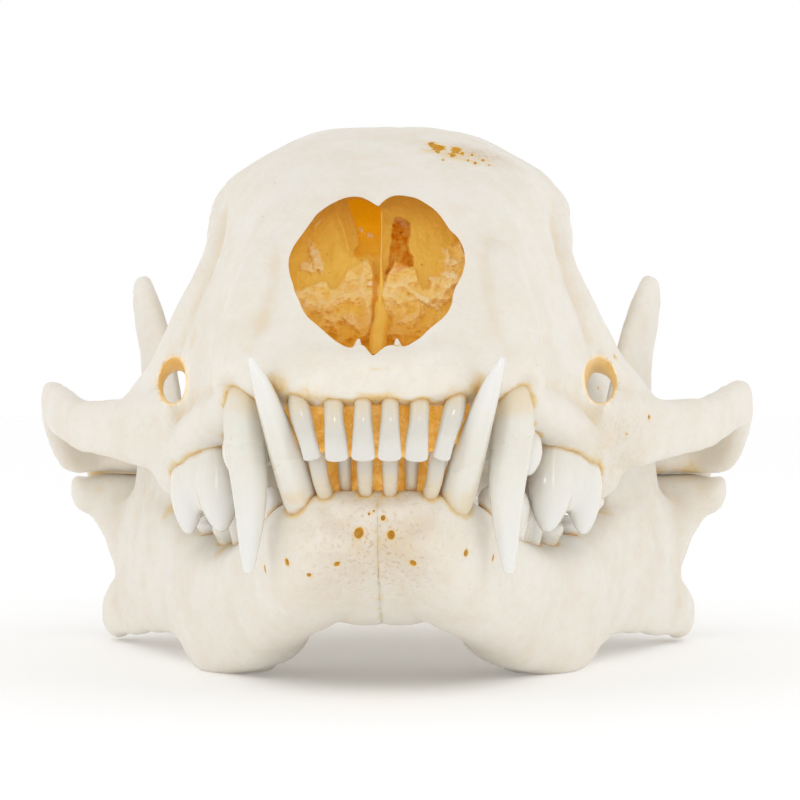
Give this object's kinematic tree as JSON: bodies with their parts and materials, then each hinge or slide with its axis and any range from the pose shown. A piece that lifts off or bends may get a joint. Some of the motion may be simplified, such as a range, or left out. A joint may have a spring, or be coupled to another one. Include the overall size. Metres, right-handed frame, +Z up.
{
  "type": "striped skunk skull",
  "caption": "Dry skull of a striped skunk with its lower jaw in place, closed at the jaw joint, with separate teeth in their sockets.",
  "frame": {"origin": "centre of the skull's box at the level of the surface that the lower jaw stands on", "axes": "+Z up, the nose towards -Y, +X towards the animal's own left"},
  "size_m": [0.047, 0.0745, 0.0333],
  "materials": {
    "bone": "dry bleached bone, satin to matte",
    "enamel": "glossy enamel"
  },
  "bodies": {
    "lower_jaw": {"left_mandible": "bone", "right_mandible": "bone", "left_lower_incisor_1": "enamel", "left_lower_incisor_2": "enamel", "left_lower_incisor_3": "enamel", "left_lower_canine": "enamel", "left_lower_premolar_2": "enamel", "left_lower_premolar_3": "enamel", "left_lower_premolar_4": "enamel", "left_lower_molar_1": "enamel", "left_lower_molar_2": "enamel", "right_lower_incisor_1": "enamel", "right_lower_incisor_2": "enamel", "right_lower_incisor_3": "enamel", "right_lower_canine": "enamel", "right_lower_premolar_2": "enamel", "right_lower_premolar_3": "enamel", "right_lower_premolar_4": "enamel", "right_lower_molar_1": "enamel", "right_lower_molar_2": "enamel"},
    "cranium": {"cranium": "bone", "left_upper_incisor_1": "enamel", "left_upper_incisor_2": "enamel", "left_upper_incisor_3": "enamel", "left_upper_canine": "enamel", "left_upper_premolar_2": "enamel", "left_upper_premolar_3": "enamel", "left_upper_premolar_4": "enamel", "left_upper_molar_1": "enamel", "right_upper_incisor_1": "enamel", "right_upper_incisor_2": "enamel", "right_upper_incisor_3": "enamel", "right_upper_canine": "enamel", "right_upper_premolar_2": "enamel", "right_upper_premolar_3": "enamel", "right_upper_premolar_4": "enamel", "right_upper_molar_1": "enamel"}
  },
  "joints": [
    {"name": "jaw_joint", "type": "hinge", "parent": "lower_jaw", "child": "cranium", "pos_m": [0, 0.01237, 0.0099], "axis": [-1, 0, 0], "range_deg": [0, 40]}
  ]
}
